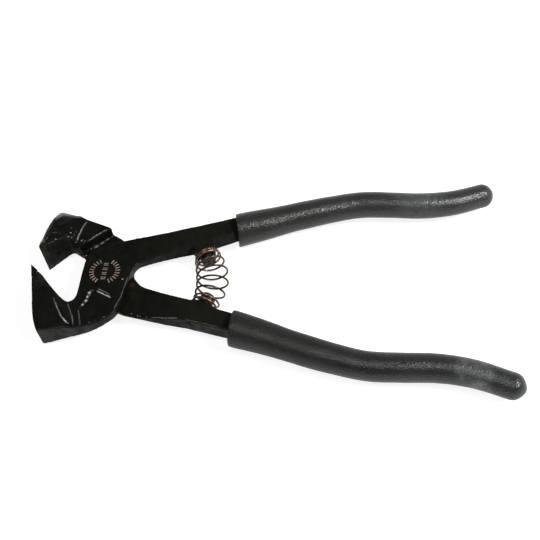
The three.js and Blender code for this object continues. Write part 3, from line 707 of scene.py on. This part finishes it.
# Return spring: one round wire, closed turns on the pads and open between them
WIRE_R, COIL_TURNS, COIL_END_R, COIL_MID_R = 0.45, 8, 5.1, 6.8
COIL_END_PITCH, COIL_LEAD, COIL_PHASE = 1.6, 11.5, 0.5
CLOSED_TURNS, REAR_CLOSED_TURNS, OPENING_TURNS, CLOSING_TURNS = 1.5, 1.3, 1, 0.4
FIT_GAP = 0.05
WIRE_SIDES, STEPS_PER_TURN = 14, 40
FRONT_WEAR_HIGHLIGHT_TURNS, REAR_WEAR_HIGHLIGHT_TURNS = (3.2, 1.6), (5.9, 6.6)  # where the wear and painted highlight set in, and where they are full
AXIS_REACH = 0.3


def seat(edge_from, edge_to, reach, rise):
    """A spring seat's middle in plan and the direction its coil sets off in."""
    a, b = np.array(edge_from), np.array(edge_to)
    along = (b - a) / np.linalg.norm(b - a)
    inward = np.array([along[1], -along[0]])
    if inward[1] * a[1] > 0:
        inward = -inward
    foot = a + along * (reach - a[0]) / along[0]
    return foot + rise * inward, inward


FRONT_SEAT = seat([30.7, 11.0], [57.5, 22.3], 41.3, 3.7)
REAR_SEAT = seat([30.9, -12.3], [57.4, -22.0], 44.1, 1.2)


def coil_path(per_turn):
    """The middle of the wire: a coil around a curve that leaves both seats squarely."""
    stand = WIRE_R + FIT_GAP
    (a, in_a), (b, in_b) = FRONT_SEAT, REAR_SEAT
    p = [a + in_a * stand, a + in_a * (stand + COIL_LEAD), b + in_b * (stand + COIL_LEAD), b + in_b * stand]
    t = np.linspace(0, 1, 400)[:, None]
    axis = (1 - t) ** 3 * p[0] + 3 * (1 - t) ** 2 * t * p[1] + 3 * (1 - t) * t**2 * p[2] + t**3 * p[3]
    run = run_along(axis)
    steps = COIL_TURNS * per_turn
    turn = (np.arange(steps) + 0.5) / per_turn
    weights = smoothstep(CLOSED_TURNS, CLOSED_TURNS + OPENING_TURNS, turn)
    weights *= smoothstep(REAR_CLOSED_TURNS, REAR_CLOSED_TURNS + CLOSING_TURNS, COIL_TURNS - turn)
    closed = COIL_END_PITCH / per_turn
    spare = run[-1] - closed * steps
    stations = np.concatenate([[0], np.cumsum(closed + spare * weights / weights.sum())])
    points = []
    for i, station in enumerate(stations):
        heading = heading_at(axis, run, station, AXIS_REACH)
        across = np.array([-heading[1], heading[0]])
        radius = COIL_END_R + (COIL_MID_R - COIL_END_R) * math.sin(math.pi * i / steps) ** 2
        angle = 2 * math.pi * (i / per_turn + COIL_PHASE)
        plan = point_at(axis, run, station) + across * radius * math.cos(angle)
        points.append([*plan, HANDLE_Z + radius * math.sin(angle)])
    return np.array(points)


def wire(name, path, radius, sides):
    """A round wire along a path, with its two ends slightly thinner."""
    tangents = np.gradient(path, axis=0)
    tangents /= np.linalg.norm(tangents, axis=1)[:, None]
    side = np.cross([0, 0, 1.0], tangents)
    side /= np.linalg.norm(side, axis=1)[:, None]
    up = np.cross(tangents, side)
    angles = np.linspace(0, 2 * math.pi, sides, endpoint=False)
    rings = []
    for i, point in enumerate(path):
        r = radius * (0.8 if i in (0, len(path) - 1) else 1)
        rings.append(point + r * (np.cos(angles)[:, None] * side[i] + np.sin(angles)[:, None] * up[i]))
    return lofted(name, rings)


spring = wire("coil_spring", coil_path(STEPS_PER_TURN), WIRE_R, WIRE_SIDES)
# Marks for the closed end turns, where the wire shows wear and a painted coppery highlight
turns = np.repeat(np.arange(COIL_TURNS * STEPS_PER_TURN + 1) / STEPS_PER_TURN, WIRE_SIDES)
worn = np.maximum(smoothstep(*FRONT_WEAR_HIGHLIGHT_TURNS, turns), smoothstep(*REAR_WEAR_HIGHLIGHT_TURNS, turns))
write_marks(spring.data, "wear_and_highlight", worn)
spring.data.materials.append(spring_wire())
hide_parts("return_spring")
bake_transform(spring)


# Spring pegs
PEG_VOXEL, PEG_PASSES = 0.18, 6
peg_material = peg_steel()
for name, node, body in (("front_peg", "front_spring_peg", "front"), ("rear_peg", "rear_spring_peg", "rear")):
    dress(softened_copy(name, node, PEG_VOXEL, PEG_PASSES), body, peg_material, node)


# Rivet and boss face: peened flush and painted over, so a thin coat hides its seam in front
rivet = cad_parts["pivot_rivet"]
rivet.data.materials.clear()
rivet.data.materials.append(black_paint("rivet_paint"))


# The coat's radius and height from its middle outwards, where it dips into the boss
COAT_PROFILE = ((1.5, 0.05), (3, 0.05), (4.5, 0.05), (5.6, 0.045), (6.2, 0.03), (6.7, 0.0), (7.1, -0.06))
COAT_MIDDLE, COAT_UNDER, COAT_SIDES = 0.05, -0.1, 72


def boss_coat():
    angles = [2 * math.pi * i / COAT_SIDES for i in range(COAT_SIDES)]
    sides = [(i, (i + 1) % COAT_SIDES) for i in range(COAT_SIDES)]
    verts = [(0, 0, COAT_MIDDLE)]
    verts += [(r * math.cos(a), r * math.sin(a), height) for r, height in COAT_PROFILE for a in angles]
    faces = [(0, 1 + a, 1 + b) for a, b in sides]
    outer = 1
    for _ in COAT_PROFILE[1:]:
        inner, outer = outer, outer + COAT_SIDES
        faces += [(inner + a, outer + a, outer + b, inner + b) for a, b in sides]
    faces += [(outer + b, outer + a, len(verts)) for a, b in sides]
    verts.append((0, 0, COAT_UNDER))
    dress(mesh_object("boss_coat", np.array(verts) * MM, faces), "front", front_paint)


boss_coat()

# Generic marks on the boss: a ring of plain ticks, open at top and bottom, with short bars down its middle
TICK_CENTRE, TICK_RADIUS = np.array([0.4, -2.2]), 5.7
TICK_COUNT, TICK_LENGTH, TICK_WIDTH = 26, 2.0, 0.46
TICK_OPENING = 0.93  # sine of the angle where the ring is left open
BAR_ROWS, BAR_LENGTH, BAR_WIDTH = (-4.1, -3.2, -1.65, -0.75, 0.8, 1.7, 3.25, 4.15), 2.1, 0.36
# Each level of a mark: its height, and how much of its length and width is left there
TICK_LEVELS = ((-0.05, 1.0, 1.0), (0.1, 1.0, 1.0), (0.14, 0.94, 0.8))


def boss_ticks():
    bars = []
    for i in range(TICK_COUNT):
        angle = 2 * math.pi * (i + 0.5) / TICK_COUNT
        if abs(math.sin(angle)) <= TICK_OPENING:
            middle = TICK_CENTRE + TICK_RADIUS * np.array([math.cos(angle), math.sin(angle)])
            bars.append((middle, angle, TICK_LENGTH, TICK_WIDTH))
    bars += [(TICK_CENTRE + np.array([0.0, row]), 0.0, BAR_LENGTH, BAR_WIDTH) for row in BAR_ROWS]
    verts, faces = [], []
    for middle, angle, length, width in bars:
        a = np.array([math.cos(angle), math.sin(angle)]) * length / 2
        b = np.array([-math.sin(angle), math.cos(angle)]) * width / 2
        start = len(verts)
        for z, long, wide in TICK_LEVELS:
            for sa, sb in ((-1, -1), (1, -1), (1, 1), (-1, 1)):
                verts.append([*(middle + (a * sa * long + b * sb * wide)), z])
        for level in (0, 4):
            for i in range(4):
                p, q = start + level + i, start + level + (i + 1) % 4
                faces.append((p, q, q + 4, p + 4))
        faces.append(tuple(start + 8 + i for i in range(4)))
        faces.append(tuple(start + i for i in (3, 2, 1, 0)))
    obj = mesh_object("boss_ticks", np.array(verts) * MM, faces, smooth=False)
    dress(obj, "front", tick_paint())


boss_ticks()


# Braze: fills the fit gap on the two buried sides of each tip
EDGE_HALF = 8.6  # half the length of a cutting edge
TIP_THICK, TIP_DEEP = 2.2, 5.6
BRAZE_THICK, BRAZE_SHORT, BRAZE_SECTIONS = 0.33, 0.06, 60
BRAZE_PROUD, BRAZE_WOBBLE = 0.02, 0.03


def tip_corners(edge, inner, front):
    """A tip's three buried corners in plan, from its edge and a point along each face of the jaw."""
    edge, inner, front = (np.array(v, float) for v in (edge, inner, front))
    slope = (inner - edge) / np.linalg.norm(inner - edge)
    back = (front - edge) / np.linalg.norm(front - edge)
    across = abs(slope[0] * back[1] - slope[1] * back[0])
    a = edge + slope * TIP_THICK / across
    return a, a + back * TIP_DEEP, edge + back * TIP_DEEP, slope, back


def plane_height(corners, point):
    """Height at a point in plan of the plane through three corners."""
    a, b, c = (np.array(corner, float) for corner in corners)
    normal = np.cross(b - a, c - a)
    return a[2] - (normal[0] * (point[0] - a[0]) + normal[1] * (point[1] - a[1])) / normal[2]


def braze_seam(name, body, edge, inner, front, near, far, material):
    """near and far are the planes that the jaw's two faces are ground to, about the joint's middle."""
    a, b, c, slope, back = tip_corners(edge, inner, front)
    outer_b = b + slope * BRAZE_THICK + back * BRAZE_THICK
    outline = [a, b, c, c + back * BRAZE_THICK, outer_b, a + slope * BRAZE_THICK]
    rings = []
    for share in np.linspace(0, 1, BRAZE_SECTIONS):
        proud = BRAZE_PROUD + BRAZE_WOBBLE * (math.sin(share * 88) + math.sin(share * 201 + 1))
        pushes = {0: -back, 5: -back, 2: -slope, 3: -slope}
        ring = []
        for k, p in enumerate(outline):
            low = max(-EDGE_HALF, *(plane_height(corners, p) for corners in far)) + BRAZE_SHORT
            high = min(EDGE_HALF, *(plane_height(corners, p) for corners in near)) - BRAZE_SHORT
            ring.append([*(p + pushes.get(k, 0 * back) * proud), HANDLE_Z + low + (high - low) * share])
        rings.append(np.array(ring))
    dress(lofted(name, rings), body, material)


# Three places on each ground plane
FRONT_NEAR = [((-30.9, -2.3, EDGE_HALF), (-22.2, -33.2, 5.0), (-7.7, -31.1, 4.6))]
FRONT_FAR = [((-30.9, -2.3, -EDGE_HALF), (-22.2, -33.2, -5.9), (-7.7, -31.1, -4.5))]
REAR_NEAR = [((-13.2, 26.2, 4.5), (-15.2, 13.5, 4.5), (-29.8, 7.2, EDGE_HALF)),
             ((-27.6, 12.2, 8.3), (-31.1, 14.0, 5.2), (-28.9, 7.0, 8.9))]
REAR_FAR = [((-12.8, 0, -4.5), (-12.8, 30, -4.5), (-29.8, 0, -EDGE_HALF))]
# A tip's edge, and a point further in along each of its two faces
FRONT_TIP = ((-30.9, -2.3), (-25.2, -6.7), (-27, -19))
REAR_TIP = ((-29.8, 7.2), (-26.4, 9.8), (-30.8, 13))
braze_seam("front_braze", "front", *FRONT_TIP, FRONT_NEAR, FRONT_FAR, front_paint)
braze_seam("rear_braze", "rear", *REAR_TIP, REAR_NEAR, REAR_FAR, tip_paint)


# Floor, world and lamps
FLOOR_GAP, FLOOR_HALF = 0.1 * MM, 3.0


def make_floor():
    """A pale floor just under the tool, white to the camera and half as bright in reflections."""
    z = min(corner[2] for corner in CAD_BOX) - FLOOR_GAP
    corners = [(x * FLOOR_HALF, y * FLOOR_HALF, z) for x, y in ((-1, -1), (1, -1), (1, 1), (-1, 1))]
    floor = mesh_object("floor", corners, [(0, 1, 2, 3)])
    s = Shader("floor_white")
    path = s.node("ShaderNodeLightPath").outputs
    seen = s.math("MAXIMUM", path["Is Camera Ray"], path["Is Transmission Ray"])
    seen = s.math("MAXIMUM", seen, s.times(path["Is Glossy Ray"], 0.5))
    diffuse = s.node("ShaderNodeBsdfDiffuse", {"Color": (0.55, 0.55, 0.55, 1)})
    glow = s.node("ShaderNodeEmission", {"Color": (1, 1, 1, 1), "Strength": s.times(seen, 0.84)})
    s.show(s.node("ShaderNodeAddShader", {0: diffuse.outputs[0], 1: glow.outputs[0]}))
    floor.data.materials.append(s.material)


def make_world():
    """A pale studio: bright near the horizon behind, darker overhead, in front and at the left, and white for
    the camera."""
    world = bpy.data.worlds.new("world")
    bpy.context.scene.world = world
    world.use_nodes = True
    s = Nodes(world.node_tree, "ShaderNodeOutputWorld")
    direction = s.node("ShaderNodeTexCoord").outputs["Generated"]
    right, back, up = s.node("ShaderNodeSeparateXYZ", {"Vector": direction}).outputs
    sky = s.times(s.ramp(up, 0.1, 0.62, 0.6, 0.1), s.ramp(back, -0.5, 0.1, 0.35, 1.15))
    sky = s.times(sky, s.ramp(right, -0.75, -0.25, 0.3, 1.0))
    strength = s.ramp(s.node("ShaderNodeLightPath").outputs["Is Camera Ray"], 0.0, 1.0, sky, 1.0)
    s.show(s.node("ShaderNodeBackground", {"Color": (1, 1, 1, 1), "Strength": strength}))


LIT_POINT = Vector((70, 0, 0)) * MM


def make_lamp(name, azimuth, elevation, distance, size, power):
    """A round lamp that faces the tool. azimuth runs from the front to the right, in degrees."""
    data = bpy.data.lights.new(name, "AREA")
    data.shape, data.size, data.energy = "DISK", size, power
    lamp = link(bpy.data.objects.new(name, data))
    a, e = math.radians(azimuth), math.radians(elevation)
    back = Vector((math.sin(a) * math.cos(e), -math.cos(a) * math.cos(e), math.sin(e)))
    lamp.location = LIT_POINT + distance * back
    lamp.rotation_mode = "QUATERNION"
    lamp.rotation_quaternion = (-back).to_track_quat("-Z", "Y")


make_floor()
make_world()
make_lamp("key", azimuth=78, elevation=48, distance=0.9, size=0.24, power=5.6)
make_lamp("fill", azimuth=-20, elevation=70, distance=1.1, size=0.5, power=2.4)

scene = bpy.context.scene
scene.view_settings.view_transform = "Standard"
